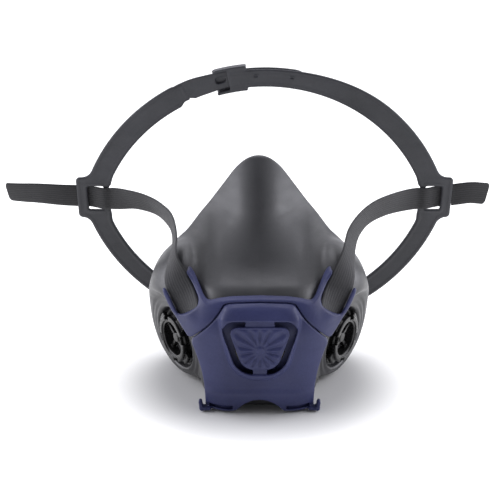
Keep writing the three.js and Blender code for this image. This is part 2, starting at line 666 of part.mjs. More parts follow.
// the tongue starts at 117 degrees and dives behind the right half between 109 and 101 degrees
const tongueDrop = (t) => (behind + half) * ease(117 - 40 * t, 109, 101.5);
let left = cut(arcBand(crown.s, crown.inner, crown.outer, 160, 116.5, 16, -half, half), above);
const tongueIn = (t) => crown.inner + 1.3 + 2.5 * ease(t, 0.9, 1);
const tongueOut = (t) => crown.outer - 0.4 - 1.1 * ease(t, 0.1, 0.5) - 2.9 * ease(t, 0.9, 1);
const tongueBack = (t) => tongueDrop(t) - half;
const tongueFront = (t) => tongueDrop(t) + half;
left = join(left, arcBand(crown.s, tongueIn, tongueOut, 117, 77, 26, tongueBack, tongueFront));
const midR = 117;
const pitchDeg = (pegPitch / midR) * (180 / Math.PI);
const pegAngles = [92.8, 92.8 - pitchDeg];
for (const angle of [...pegAngles, 92.8 + pitchDeg]) {
  const [x, s] = [midR * Math.cos(rad(angle)), crown.s + midR * Math.sin(rad(angle))];
  left = cut(left, onRingPlane(slot(x, s, 6.8, 3.8, angle - 90), -8, 4));
}
put('crown_band_left', left, cradle, 0.5);
const rightOut = (t) => crown.outer - 2 * ease(t, 0.4, 0.8);
let right = cut(arcBand(crown.s, crown.inner, rightOut, 20, 101.2, 28, -half, half), above);
for (const angle of pegAngles) {
  const [x, s] = [midR * Math.cos(rad(angle)), crown.s + midR * Math.sin(rad(angle))];
  right = join(right, onRingPlane(slot(x, s, 6, 3, angle - 90), behind - half + 0.2, 0));
}
const loop = (r0, r1, a, b, f0, f1) => arcBand(crown.s, r0, r1, a, b, 6, f0, f1);
const rear = behind - half - 0.4 - 1.4;
right = join(right, loop(crown.outer - 0.8, crown.outer + 0.9, 105.6, 95.6, rear, half));
right = join(right, loop(crown.outer - 3, crown.outer + 0.4, 101.2, 95.6, -half, half));
right = join(right, loop(crown.inner - 1.8, crown.inner, 105.6, 95.6, rear, half));
right = join(right, loop(crown.inner - 1, crown.inner + 1, 101.2, 95.6, -half, half));
right = join(right, loop(crown.inner - 1.6, crown.outer + 0.7, 105.6, 95.6, rear, rear + 1.4));
put('crown_band_right', right, cradle, 0.5);

export default group;
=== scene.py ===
import math

import bpy
import numpy as np
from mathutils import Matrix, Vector


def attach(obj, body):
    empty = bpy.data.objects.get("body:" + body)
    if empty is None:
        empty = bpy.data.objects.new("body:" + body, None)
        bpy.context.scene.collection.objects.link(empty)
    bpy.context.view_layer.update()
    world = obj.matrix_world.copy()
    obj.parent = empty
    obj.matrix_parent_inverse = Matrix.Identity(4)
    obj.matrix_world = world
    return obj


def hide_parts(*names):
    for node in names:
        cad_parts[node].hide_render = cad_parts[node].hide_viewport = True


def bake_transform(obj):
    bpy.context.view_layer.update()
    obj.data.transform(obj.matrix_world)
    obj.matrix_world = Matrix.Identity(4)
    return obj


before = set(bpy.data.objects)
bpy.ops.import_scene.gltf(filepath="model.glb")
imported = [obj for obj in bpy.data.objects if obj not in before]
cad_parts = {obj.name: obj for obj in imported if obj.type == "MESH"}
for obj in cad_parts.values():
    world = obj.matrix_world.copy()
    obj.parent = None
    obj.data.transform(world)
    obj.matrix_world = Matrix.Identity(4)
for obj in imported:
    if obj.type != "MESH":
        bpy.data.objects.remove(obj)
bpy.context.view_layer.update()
MM = 0.001

# ---------------------------------------------------------------- camera
scene = bpy.context.scene
cam_data = bpy.data.cameras.new("camera")
cam_data.sensor_width = 36.0
cam_data.lens = 64.0
cam_data.clip_start = 0.02
cam_data.clip_end = 20.0
cam_data.dof.use_dof = False
camera = bpy.data.objects.new("camera", cam_data)
scene.collection.objects.link(camera)
camera.location = (-0.0054, -0.4982, 0.2340)
camera.rotation_euler = (math.radians(90 - 17.0), 0, 0)
scene.camera = camera


# ---------------------------------------------------------------- numbers shared with the CAD, in mm
def unit(v):
    v = np.array(v, float)
    return v / np.linalg.norm(v)


FLANK = unit((0.68, -0.50, 0.54))
FLANK_REACH = 54.0
SEAT = np.array((46.2, 0.4, 27.8))
PORT = unit((0.83, -0.55, -0.10))
VALVE_Z = 40.5
BOSS_TILT = math.radians(6)
YOKE_GAP, PLATE_TOP, COVER_GAP, SHELL_TOP = 1.1, 2.5, 3.0, 5.0
SHIFT, RING_Y, RING_Z, LEAN = 4.0, 84.0, 0.4, math.radians(10)
HALF = 0.9  # half the ring's thickness
WEB_WIDE, WEB_THICK, RIB_PITCH = 15.0, 1.6, 1.5
SLOT_S, TAIL_X = 98.4, 123.4  # up the ring to the middle of a buckle's slot, and out to the tail


# ---------------------------------------------------------------- distance fields
def smin(a, b, k):
    h = np.clip(0.5 + 0.5 * (b - a) / k, 0, 1)
    return b * (1 - h) + a * h - k * h * (1 - h)


def smax(a, b, k):
    return -smin(-a, -b, k)


def step(t, a, b):
    u = np.clip((t - a) / (b - a), 0, 1)
    return u * u * (3 - 2 * u)


def round_box(x, y, z, c, h, r):
    q = [np.abs(p - c[i]) - h[i] + r for i, p in enumerate((x, y, z))]
    out = np.sqrt(np.maximum(q[0], 0) ** 2 + np.maximum(q[1], 0) ** 2 + np.maximum(q[2], 0) ** 2)
    return out + np.minimum(np.maximum(np.maximum(q[0], q[1]), q[2]), 0) - r


def box2(x, y, hx, hy, r):
    qx, qy = np.abs(x) - hx + r, np.abs(y) - hy + r
    return np.hypot(np.maximum(qx, 0), np.maximum(qy, 0)) + np.minimum(np.maximum(qx, qy), 0) - r


def egg(x, y, z, c, r, n):
    k = np.abs((x - c[0]) / r[0]) ** n + np.abs((y - c[1]) / r[1]) ** n + np.abs((z - c[2]) / r[2]) ** n
    return (k ** (1 / n) - 1) * min(r)


def port_place(x, y, z):
    """Height above the port's seat plane and distance from its axis, for the nearer port."""
    qx, qy, qz = np.abs(x) - SEAT[0], y - SEAT[1], z - SEAT[2]
    h = qx * PORT[0] + qy * PORT[1] + qz * PORT[2]
    rr = np.sqrt(np.maximum(qx * qx + qy * qy + qz * qz - h * h, 0))
    return h, rr


def form(x, y, z):
    """The rubber's outside: nose wedge, cheeks, muzzle, port seats and flat chin."""
    ax = np.abs(x)
    side = FLANK[1] * y + FLANK[2] * z - FLANK_REACH
    # the ridge broadens on its way down but keeps its line
    fall = step(-z, -100, -64)
    nose = smax(FLANK[0] * x + side, -FLANK[0] * x + side, 24 + 24 * fall)
    nose = nose - 6 * fall * (1 - step(ax, 20, 44)) * step(z, 48, 66)
    nose = smax(nose, ax - 60, 12)
    nose = smax(nose, 50 - z, 16)
    # the cheek sinks towards the nose, so that the nose's sides run down without a shelf
    cheek = egg(ax, y, z, (32, 19, 41), (36, 44, 42), 2.4) + 9 * (1 - step(ax, 24, 46)) * step(z, 60, 82)
    muzzle = round_box(ax / (1 + 0.1 * (z - 30) / 30), y, z, (0, -1, 30), (36, 43, 35), 18)
    d = smin(nose, cheek, 7 + 20 * (1 - step(ax, 30, 46)) * step(z, 54, 70))
    d = smin(d, muzzle, 10 + 4 * step(z, 60, 70) * (1 - step(ax, 24, 40)))
    h, rr = port_place(x, y, z)
    d = smin(d, smax(np.abs(h + 10) - 10, rr - 19, 3), 5)
    d = smax(d, -smax(5.5 - h, rr - 30, 8), 6)
    d = smax(d, -smax(-h, rr - 18.8, 2), 2.5)
    return smax(d, -z, 4)


def rim_y(x, z):
    return 38 + 0.09 * (z - 60) + 0.0012 * x * x


def sd_poly(x, y, pts):
    d = np.full(np.broadcast(x, y).shape, 1e9)
    s = np.ones(d.shape)
    n = len(pts)
    for i in range(n):
        a, b = pts[i], pts[i - 1]
        ex, ey = b[0] - a[0], b[1] - a[1]
        if ex * ex + ey * ey < 1e-9:
            continue
        wx, wy = x - a[0], y - a[1]
        t = np.clip((wx * ex + wy * ey) / (ex * ex + ey * ey), 0, 1)
        d = np.minimum(d, (wx - ex * t) ** 2 + (wy - ey * t) ** 2)
        c1, c2, c3 = y >= a[1], y < b[1], ex * wy > ey * wx
        s = np.where((c1 & c2 & c3) | (~c1 & ~c2 & ~c3), -s, s)
    return s * np.sqrt(d)


def chaikin(pts, q=0.25):
    """Corners cut twice, at q of each side."""
    pts = np.array(pts, float)
    for _ in range(2):
        nxt = np.roll(pts, -1, axis=0)
        pts = np.stack([pts * (1 - q) + nxt * q, pts * q + nxt * (1 - q)], 1).reshape(-1, 2)
    return pts


def mirrored(pts):
    return list(pts) + [(-x, z) for x, z in reversed(pts)]


class Flat:
    """Distance to an outline in a plane, kept as a fine table and read by bilinear steps."""

    def __init__(self, pts, lo, hi, cell=0.25):
        self.lo, self.cell = np.array(lo, float), cell
        x = np.arange(lo[0], hi[0] + cell, cell)
        y = np.arange(lo[1], hi[1] + cell, cell)
        self.t = sd_poly(x[:, None], y[None, :], np.array(pts, float))

    def __call__(self, x, y):
        u = np.clip((x - self.lo[0]) / self.cell, 0, self.t.shape[0] - 1.001)
        v = np.clip((y - self.lo[1]) / self.cell, 0, self.t.shape[1] - 1.001)
        i, j = u.astype(int), v.astype(int)
        a, b = u - i, v - j
        i, j = np.broadcast_arrays(i, j)
        t = self.t
        return (
            t[i, j] * (1 - a) * (1 - b) + t[i + 1, j] * a * (1 - b)
            + t[i, j + 1] * (1 - a) * b + t[i + 1, j + 1] * a * b
        )


# ---------------------------------------------------------------- surface from a field
def net(field, lo, hi, cell, polish=2):
    """Closed quads on the zero level of field, inside where it is negative. mm in, mm out."""
    ax = [np.arange(lo[i], hi[i] + cell, cell) for i in range(3)]
    v = field(ax[0][:, None, None], ax[1][None, :, None], ax[2][None, None, :])
    v = np.ascontiguousarray(np.broadcast_to(v, tuple(len(a) for a in ax))).astype(np.float32)
    # nothing may reach the wall of the box
    v[0], v[-1], v[:, 0], v[:, -1], v[:, :, 0], v[:, :, -1] = 1, 1, 1, 1, 1, 1
    ins = v < 0
    n = np.zeros(tuple(s - 1 for s in v.shape), np.uint8)
    corners = [(i, j, k) for i in (0, 1) for j in (0, 1) for k in (0, 1)]
    for i, j, k in corners:
        n += ins[i:i + n.shape[0], j:j + n.shape[1], k:k + n.shape[2]]
    act = (n > 0) & (n < 8)
    cells = np.argwhere(act)
    idx = np.full(act.shape, -1, np.int64)
    idx[act] = np.arange(len(cells))
    acc, num = np.zeros((len(cells), 3)), np.zeros(len(cells))
    for a in corners:
        for axis in range(3):
            if a[axis]:
                continue
            b = tuple(a[m] + (m == axis) for m in range(3))
            va = v[tuple((cells + a).T)]
            vb = v[tuple((cells + b).T)]
            c = (va < 0) != (vb < 0)
            t = va[c] / (va[c] - vb[c])
            p = np.tile(np.array(a, float), (c.sum(), 1))
            p[:, axis] += t
            acc[c] += p
            num[c] += 1
    pts = np.array(lo) + (cells + acc / num[:, None]) * cell
    quads = []
    for axis in range(3):
        o1, o2 = (axis + 1) % 3, (axis + 2) % 3
        sl_a = [slice(1, -1)] * 3
        sl_b = [slice(1, -1)] * 3
        sl_a[axis], sl_b[axis] = slice(0, -1), slice(1, None)
        a, b = ins[tuple(sl_a)], ins[tuple(sl_b)]
        where = np.argwhere(a != b)
        off = np.ones(3, int)
        off[axis] = 0
        base = where + off
        flip = ~a[tuple(where.T)]
        ring = []
        for d1, d2 in ((-1, -1), (0, -1), (0, 0), (-1, 0)):
            c = base.copy()
            c[:, o1] += d1
            c[:, o2] += d2
            ring.append(idx[tuple(c.T)])
        q = np.stack(ring, 1)
        q[flip] = q[flip][:, ::-1]
        quads.append(q)
    quads = np.concatenate(quads)
    for _ in range(polish):
        e = 0.08
        x, y, z = pts.T
        f = field(x, y, z)
        g = np.stack([
            field(x + e, y, z) - field(x - e, y, z),
            field(x, y + e, z) - field(x, y - e, z),
            field(x, y, z + e) - field(x, y, z - e)], 1) / (2 * e)
        g2 = np.maximum((g * g).sum(1), 0.15)
        move = -(f / g2)[:, None] * g
        size = np.linalg.norm(move, axis=1, keepdims=True)
        pts = pts + move * np.minimum(1, 0.35 * cell / np.maximum(size, 1e-9))
    return pts, quads


def relax(pts, quads, share=0.35):
    """Gentle smoothing that evens the net's quads."""
    tot, cnt = np.zeros_like(pts), np.zeros(len(pts))
    for a, b in ((0, 1), (1, 2), (2, 3), (3, 0)):
        for s, t in ((a, b), (b, a)):
            np.add.at(tot, quads[:, s], pts[quads[:, t]])
            np.add.at(cnt, quads[:, s], 1)
    return pts + share * (tot / cnt[:, None] - pts)


def to_object(name, pts, faces, material, smooth=True):
    """Mesh object from points in mm and quads."""
    mesh = bpy.data.meshes.new(name)
    mesh.vertices.add(len(pts))
    mesh.vertices.foreach_set("co", (pts * MM).astype(np.float32).ravel())
    mesh.loops.add(faces.size)
    mesh.loops.foreach_set("vertex_index", faces.astype(np.int32).ravel())
    mesh.polygons.add(len(faces))
    mesh.polygons.foreach_set("loop_start", np.arange(0, faces.size, 4, dtype=np.int32))
    mesh.polygons.foreach_set("loop_total", np.full(len(faces), 4, np.int32))
    mesh.update(calc_edges=True)
    mesh.validate()
    if smooth:
        mesh.polygons.foreach_set("use_smooth", np.ones(len(mesh.polygons), bool))
    mesh.materials.append(material)
    obj = bpy.data.objects.new(name, mesh)
    scene.collection.objects.link(obj)
    return obj


def moulded(name, field, lo, hi, cell, material, place=None):
    """Object on a field's zero level, put in its place. A place that mirrors turns the quads over."""
    pts, quads = net(field, lo, hi, cell)
    pts = relax(pts, quads)
    if place is not None:
        pts = place(pts)
        if np.linalg.det(place(np.eye(3)) - place(np.zeros((1, 3)))) < 0:
            quads = quads[:, ::-1]
    return to_object(name, pts, quads, material)


# ---------------------------------------------------------------- materials
def nodes_of(name):
    m = bpy.data.materials.new(name)
    m.use_nodes = True
    nt = m.node_tree
    nt.nodes.clear()
    out = nt.nodes.new("ShaderNodeOutputMaterial")
    b = nt.nodes.new("ShaderNodeBsdfPrincipled")
    nt.links.new(b.outputs[0], out.inputs[0])
    return m, nt, b


def coords(nt, scale=(1, 1, 1)):
    geo = nt.nodes.new("ShaderNodeTexCoord")
    mp = nt.nodes.new("ShaderNodeMapping")
    mp.inputs["Scale"].default_value = scale
    nt.links.new(geo.outputs["Object"], mp.inputs["Vector"])
    return mp.outputs["Vector"]


def noise(nt, vec, scale, detail=4.0, rough=0.55):
    n = nt.nodes.new("ShaderNodeTexNoise")
    n.inputs["Scale"].default_value = scale
    n.inputs["Detail"].default_value = detail
    n.inputs["Roughness"].default_value = rough
    nt.links.new(vec, n.inputs["Vector"])
    return n.outputs["Fac"]


def ramp(nt, fac, stops):
    r = nt.nodes.new("ShaderNodeValToRGB")
    els = r.color_ramp.elements
    while len(els) < len(stops):
        els.new(0.5)
    for e, (p, c) in zip(els, stops):
        e.position = p
        e.color = (*c, 1)
    nt.links.new(fac, r.inputs["Fac"])
    return r.outputs["Color"]


def spread(nt, fac, lo, hi, a=0.3, b=0.7):
    m = nt.nodes.new("ShaderNodeMapRange")
    m.inputs["From Min"].default_value = a
    m.inputs["From Max"].default_value = b
    m.inputs["To Min"].default_value = lo
    m.inputs["To Max"].default_value = hi
    nt.links.new(fac, m.inputs["Value"])
    return m.outputs["Result"]


def calc(nt, op, a, b):
    m = nt.nodes.new("ShaderNodeMath")
    m.operation = op
    for i, q in enumerate((a, b)):
        if isinstance(q, (int, float)):
            m.inputs[i].default_value = q
        else:
            nt.links.new(q, m.inputs[i])
    return m.outputs[0]


def bump(nt, bsdf, height, strength, distance, below=None):
    b = nt.nodes.new("ShaderNodeBump")
    b.inputs["Strength"].default_value = strength
    b.inputs["Distance"].default_value = distance
    nt.links.new(height, b.inputs["Height"])
    if below is not None:
        nt.links.new(below, b.inputs["Normal"])
    nt.links.new(b.outputs["Normal"], bsdf.inputs["Normal"])
    return b.outputs["Normal"]


def moulded_material(name, dark, mid, pale, r0, r1, grain, fine, specular, sheen=0.0):
    """Moulded plastic or rubber: uneven tone, handling marks, spark-eroded grain."""
    m, nt, b = nodes_of(name)
    v = coords(nt)
    big = noise(nt, v, 28.0, 5.0)
    speck = noise(nt, v, 900.0, 2.0, 0.7)
    mix = calc(nt, "ADD", calc(nt, "MULTIPLY", big, 0.75), calc(nt, "MULTIPLY", speck, 0.25))
    nt.links.new(ramp(nt, mix, [(0.32, dark), (0.5, mid), (0.70, pale)]), b.inputs["Base Color"])
    streak = noise(nt, coords(nt, (1.0, 1.0, 4.0)), 55.0, 6.0, 0.6)
    nt.links.new(spread(nt, streak, r0, r1), b.inputs["Roughness"])
    n1 = bump(nt, b, noise(nt, v, grain, 3.0, 0.6), 0.22, 0.00012)
    bump(nt, b, noise(nt, v, fine, 2.0, 0.5), 0.35, 0.00004, n1)
    b.inputs["Specular IOR Level"].default_value = specular
    if sheen:
        b.inputs["Sheen Weight"].default_value = sheen
        b.inputs["Sheen Roughness"].default_value = 0.45
    return m


def webbing_material():
    """Woven elastic: lengthwise ribs, cross yarns and fuzz, laid out along the ribbon in its own mm."""
    m, nt, b = nodes_of("webbing")
    at = nt.nodes.new("ShaderNodeAttribute")
    at.attribute_name = "weave"
    sep = nt.nodes.new("ShaderNodeSeparateXYZ")
    nt.links.new(at.outputs["Vector"], sep.inputs[0])
    along, across = sep.outputs["X"], sep.outputs["Y"]
    rib = calc(nt, "SINE", calc(nt, "MULTIPLY", across, 2 * math.pi / RIB_PITCH), 0.0)
    yarn = calc(nt, "SINE", calc(nt, "MULTIPLY", along, 2 * math.pi / 0.9), 0.0)
    v = coords(nt)
    fuzz = noise(nt, v, 1600.0, 4.0, 0.7)
    twill = calc(nt, "SINE", calc(nt, "MULTIPLY", calc(nt, "ADD", along, across), 2 * math.pi / 0.75), 0.0)
    cross = calc(nt, "MULTIPLY", calc(nt, "MULTIPLY", yarn, twill), 0.28)
    h = calc(nt, "ADD", calc(nt, "MULTIPLY", rib, 0.5), cross)
    h = calc(nt, "ADD", h, calc(nt, "MULTIPLY", fuzz, 0.9))
    # painted shade: the weave's height also sets its colour, so rib hollows and low yarns are painted darker
    # and crests lighter, over random yarn tone
    tone = calc(nt, "ADD", calc(nt, "MULTIPLY", h, 0.32), calc(nt, "MULTIPLY", noise(nt, v, 40.0, 4.0), 0.45))
    yarns = [(0.12, (0.005, 0.005, 0.006)), (0.38, (0.012, 0.012, 0.014)), (0.72, (0.026, 0.026, 0.029))]
    nt.links.new(ramp(nt, tone, yarns), b.inputs["Base Color"])
    nt.links.new(spread(nt, fuzz, 0.60, 0.80), b.inputs["Roughness"])
    b.inputs["Specular IOR Level"].default_value = 0.50
    b.inputs["Sheen Weight"].default_value = 0.06
    b.inputs["Sheen Roughness"].default_value = 0.5
    bump(nt, b, h, 0.4, 0.00025)
    return m


RUBBER = moulded_material(
    "rubber",
    (0.009, 0.0093, 0.011), (0.013, 0.0134, 0.0155), (0.019, 0.0195, 0.0225),
    0.36, 0.50, 260.0, 1900.0, 0.60, 0.04,
)
BLUE = moulded_material(
    "blue_plastic",
    (0.021, 0.024, 0.070), (0.027, 0.031, 0.088), (0.036, 0.041, 0.112),
    0.38, 0.52, 420.0, 2600.0, 0.26,
)
BLACK = moulded_material(
    "black_plastic",
    (0.003, 0.003, 0.003), (0.005, 0.005, 0.005), (0.010, 0.010, 0.010),
    0.20, 0.36, 420.0, 2400.0, 0.5,
)
CRADLE = moulded_material(
    "cradle_plastic",
    (0.017, 0.018, 0.022), (0.025, 0.026, 0.031), (0.034, 0.035, 0.042),
    0.40, 0.55, 360.0, 2200.0, 0.42,
)
SILICONE = moulded_material(
    "valve_silicone",
    (0.035, 0.035, 0.037), (0.048, 0.048, 0.051), (0.070, 0.070, 0.074),
    0.40, 0.60, 300.0, 1500.0, 0.4,
)
WEB = webbing_material()


# ---------------------------------------------------------------- facepiece
def face_field(x, y, z):
    d = form(x, y, z)
    h, rr = port_place(x, y, z)
    # faint rings moulded round each port seat
    fade = step(rr, 19.5, 21) * step(-rr, -31, -25) * step(h, -9, -4)
    d = d - 0.22 * np.cos((rr - 20.5) * 2 * math.pi / 3.6) * fade
    body = smax(d, y - (rim_y(x, z) + 3.4), 6.0)
    cavity = smax(form(x, y, z), y - (rim_y(x, z) + 3.4), 6.0) + 2.0
    opening = smax(form(x, y, z) + 9.0, 18.0 - y, 2.0)
    opening = smin(opening, round_box(x, y, z, (0, 38, 36), (24, 24, 27), 12), 8.0)
    d = smax(body, -smin(cavity, opening, 1.6), 1.0)
    valve = np.hypot(x, z - VALVE_Z) - 12.7
    d = smax(d, -np.maximum(valve, y + 20), 0.8)
    d = smax(d, -np.maximum(rr - 12.9, np.abs(h) - 14), 0.8)
    return d


face = moulded("rubber_facepiece", face_field, (-72, -49, -2), (72, 54, 134), 0.85, RUBBER)
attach(face, "mask")
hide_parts("facepiece")

# ---------------------------------------------------------------- yoke and cover outlines (x, z), right half
ARM = [
    (0, 66.9), (14, 66.6), (22.5, 65.5), (28.5, 63.6), (31, 65.0), (34.6, 69.2), (38.6, 74.2),
    (40.2, 75.4), (41.4, 75.2), (41.4, 74), (36.5, 68.2), (34.0, 65.0), (34.2, 62), (35.4, 60.2),
    (38.8, 57.6), (43.2, 54.5), (45.4, 53.8), (46.9, 55), (52.6, 64.4), (53.8, 65.6), (55.0, 65.2),
    (55.2, 63.6), (50, 55), (46.6, 50.4), (42.6, 45.4), (39.4, 41.6), (32.4, 48.9), (25.9, 55.2),
    (21.4, 60.8), (19.6, 64), (14, 64.7), (0, 65.2),
]
COVER = [
    (0, 64.7), (13.8, 64.2), (17.6, 63.8), (19.1, 63.2), (20.9, 60.4), (25.5, 54.8), (32, 48.5),
    (38.9, 41.2), (35.6, 34), (32.6, 25), (31.2, 17), (30.6, 10), (30.8, 3), (30.8, 1.2), (29, 1.0),
    (16, 1.0), (13.6, 1.2), (9, 6.4), (4, 9), (0, 9.4),
]
PLATE = [(0, 65.4), (19, 64.6), (26, 56), (31, 50.5), (35.8, 42), (31, 33), (27, 20), (26, 12), (0, 13)]
arm_flat = Flat(chaikin(mirrored(ARM), 0.22), (-64, -6), (64, 84))
cover_flat = Flat(chaikin(mirrored(COVER), 0.2), (-64, -6), (64, 84))
plate_flat = Flat(chaikin(mirrored(PLATE)), (-64, -6), (64, 84))
VALVE_Y = -44.0


def boss_place(x, y, z):
    """Across, up and out from the boss plane through the valve's centre."""
    c, s = math.cos(BOSS_TILT), math.sin(BOSS_TILT)
    dy, dz = y - VALVE_Y, z - VALVE_Z
    return x, dy * s + dz * c, -dy * c + dz * s


def trapezoid(x, u, top, low, up, down, r):
    """Rounded trapezoid, wide at the top."""
    k = (top - low) / (up + down)
    n = math.hypot(1, k)
    side = (np.abs(x) - low - (u + down) * k) / n + r
    end = np.maximum(u - up, -down - u) + r
    return np.hypot(np.maximum(side, 0), np.maximum(end, 0)) + np.minimum(np.maximum(side, end), 0) - r


def strap_pocket(x, y, z, f):
    """Room for the webbing behind the yoke's cup."""
    ax = np.abs(x)
    c, s = 0.62, 0.78
    u = (ax - 41) * c + (z - 59.3) * s
    v = (ax - 41) * s - (z - 59.3) * c
    strip = np.maximum(np.abs(v) - 8.6, np.maximum(-6.5 - u, u - 14))
    return np.maximum(strip, np.maximum(0.3 - f, f - 4.1))


def yoke_field(x, y, z):
    f = form(x, y, z)
    out = arm_flat(x, z)
    # cups stand prouder, and edges are rolled
    ax = np.abs(x)
    proud = 1.2 * step(ax, 33, 41) * step(z, 50, 57)
    top = SHELL_TOP + proud
    arm = smax(smax(YOKE_GAP - f, f - top, 1.0), out, 1.0)
    arm = np.maximum(arm, y + 9)
    plate = smax(smax(YOKE_GAP - f, f - PLATE_TOP, 0.5), plate_flat(x, z), 0.8)
    plate = np.maximum(plate, y + 12)
    d = smin(arm, plate, 0.6)
    d = smax(d, -np.maximum(np.hypot(x, z - VALVE_Z) - 13.0, y + 25), 0.6)
    h, rr = port_place(x, y, z)
    d = smax(d, -np.maximum(rr - 21.4, -8 - h), 1.0)
    return smax(d, -strap_pocket(x, y, z, f), 0.7)


def cover_field(x, y, z):
    f = form(x, y, z)
    out = cover_flat(x, z)
    skirt = 1.0 * step(-z, -17, -12)
    shell = smax(smax(COVER_GAP - f, f - (SHELL_TOP + skirt), 0.8), out, 1.0)
    shell = np.maximum(shell, y + 12)
    bx, up, h = boss_place(x, y, z)
    # boss: steep sides, long slope towards the yoke
    ramp_top = 9.4 - 0.55 * np.maximum(up - 16.2, 0) - 0.006 * np.maximum(np.abs(bx) - 12, 0) ** 2
    boss = smax(trapezoid(bx, up, 24.4, 14.6, 24.2, 18.4, 12.0), h - ramp_top, 4.0)
    boss = smax(boss, out + 0.2, 1.2)
    boss = np.maximum(boss, COVER_GAP + 0.2 - f)
    d = smin(shell, boss, 1.8)
    inner = np.maximum(trapezoid(bx, up, 22.4, 12.8, 16.6, 16.0, 8), h - 7.4)
    d = smax(d, -inner, 0.8)
    # outlet groove with bridges above and below
    outer = trapezoid(bx, up, 22.2, 12.2, 15.3, 14.6, 8.0)
    leaf = trapezoid(bx, up, 17.6, 9.2, 12.2, 11.6, 5.5)
    groove = np.maximum(np.maximum(outer, -leaf), 4.0 - h)
    top_bridge = np.maximum(np.abs(bx) - 8.0, 8 - up)
    low_bridge = np.maximum(np.abs(bx) - 3.9, up + 8)
    dip = np.maximum(groove, -(h - 8.2))
    deep = np.maximum(groove, -np.minimum(top_bridge, low_bridge))
    d = smax(d, -np.minimum(deep, dip), 0.7)
    # broad radial ribs round a small hub
    rr = np.hypot(bx, up + 0.8)
    ang = np.arctan2(up + 0.8, bx)
    d = d - 0.5 * np.cos(14 * ang) * step(rr, 2.5, 6.5) * step(-leaf, 0.8, 2.6) * step(h, 7.0, 8.0)
    hub = smax(rr - 2.0, np.abs(h - 9.2) - 1.0, 0.6)
    d = smin(d, hub, 0.8)
    # shallow panel line round the leaf
    d = smax(d, -(np.hypot(leaf + 0.9, h - 9.6) - 0.4), 0.3)
    # latch slots in the lower edge
    slot = box2(np.abs(x) - 21.7, z - 4.1, 6.7, 1.45, 0.8)
    d = smax(d, -np.maximum(np.maximum(slot, y + 30), COVER_GAP + 0.7 - f), 0.4)
    # curled latch hooks
    hx = np.abs(x)
    foot = round_box(hx, y, z, (30.6, -43.3, 1.9), (3.2, 2.5, 1.1), 1.0)
    curl = round_box(hx - 0.16 * (z - 3), y, z, (33.0, -43.3, 3.6), (1.0, 2.5, 2.9), 0.95)
    return smin(d, smin(foot, curl, 0.9), 1.0)


yoke = moulded("blue_yoke", yoke_field, (-58, -56, 9), (58, -4, 79), 0.5, BLUE)
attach(yoke, "mask")
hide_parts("yoke")

cover = moulded("blue_valve_cover", cover_field, (-42, -57, -1), (42, -9, 68), 0.42, BLUE)
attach(cover, "cover")
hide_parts("valve_cover")


# ---------------------------------------------------------------- ports, valve parts
def axis_place(point, direction):
    y = unit(direction)
    x = unit(np.cross((0, 0, 1), y))
    z = np.cross(x, y)
    m = np.stack([x, y, z])
    p = np.array(point, float)
    return lambda q: q @ m + p


def tube(r, h, r0, r1, h0, h1, k=0.4):
    return smax(np.abs(r - (r0 + r1) / 2) - (r1 - r0) / 2, np.abs(h - (h0 + h1) / 2) - (h1 - h0) / 2, k)


LUGS = (37, 129, 219, 309)


def port_field(u, h, w):
    r = np.hypot(u, w)
    a = np.degrees(np.arctan2(-w, u))
    d = tube(r, h, 10.5, 12.6, -6, 6)
    d = smin(d, tube(r, h, 10.5, 17.0, 0.45, 2.2), 0.5)
    d = smin(d, tube(r, h, 10.5, 14.4, 5.2, 8.0, 0.7), 0.5)
    d = smin(d, tube(r, h, 10.5, 13.2, 1.0, 7.0), 0.4)
    # lip round the bore's mouth, a step below the rim
    d = smax(d, -smax(r - 11.6, 7.1 - h, 0.3), 0.3)
    for turn in LUGS:
        local = np.radians((a - turn + 180) % 360 - 180)
        across, out = r * np.sin(local), r * np.cos(local)
        # bayonet lug
        lug = smax(tube(r, h, 12.6, 17.2, 3.4, 6.1, 0.6), np.abs(across) - 4.0, 0.7)
        d = smin(d, np.maximum(lug, -out), 0.5)
        # spoke that holds the flap
        spoke = smax(np.abs(across) - 1.1, np.abs(h - 3.4) - 1.2, 0.5)
        d = smin(d, np.maximum(spoke, np.maximum(r - 11.2, -out)), 0.5)
        # entry notch beside the lug
        gap = np.radians((a - turn - 38 + 180) % 360 - 180)
        notch = smax(np.abs(r * np.sin(gap)) - 2.5, np.maximum(12.2 - r, 5.4 - h), 0.4)
        d = smax(d, -np.maximum(notch, -np.cos(gap)), 0.5)
    hub = smax(r - 3.1, np.abs(h - 3.6) - 1.4, 0.8)
    d = smin(d, hub, 0.6)
    stud = smax(r - 1.2, np.abs(h - 0.6) - 2.6, 0.3)
    bead = np.hypot(r, (h + 1.9) * 1.4) - 2.1
    return smin(d, smin(stud, bead, 0.3), 0.3)


def retainer_field(u, h, w):
    r = np.hypot(u, w)
    a = np.arctan2(w, u)
    d = tube(r, h, 12.95, 14.6, -5.4, -2.65)
    d = smin(d, tube(r, h, 12.95, 16.6, -3.8, -2.65), 0.6)
    notch = np.abs((a % (math.pi / 4)) - math.pi / 8) * r - 1.1
    return smax(d, -np.maximum(notch, np.maximum(h + 4.6, 0)), 0.4)


def seat_field(u, h, w):
    r = np.hypot(u, w)
    d = tube(r, h, 9.5, 12.3, -3.2, 4.0)
    d = smin(d, tube(r, h, 10.2, 13.8, 3.6, 4.2, 0.25), 0.3)
    for turn in (math.pi / 4, -math.pi / 4):
        t = u * math.cos(turn) + w * math.sin(turn)
        d = smin(d, np.maximum(smax(np.abs(t) - 0.9, np.abs(h - 1.2) - 1.0, 0.3), r - 10), 0.4)
    d = smin(d, smax(r - 2.6, np.abs(h - 1.4) - 1.2, 0.4), 0.4)
    return smin(d, smax(r - 1.1, np.abs(h - 4) - 1.8, 0.3), 0.3)


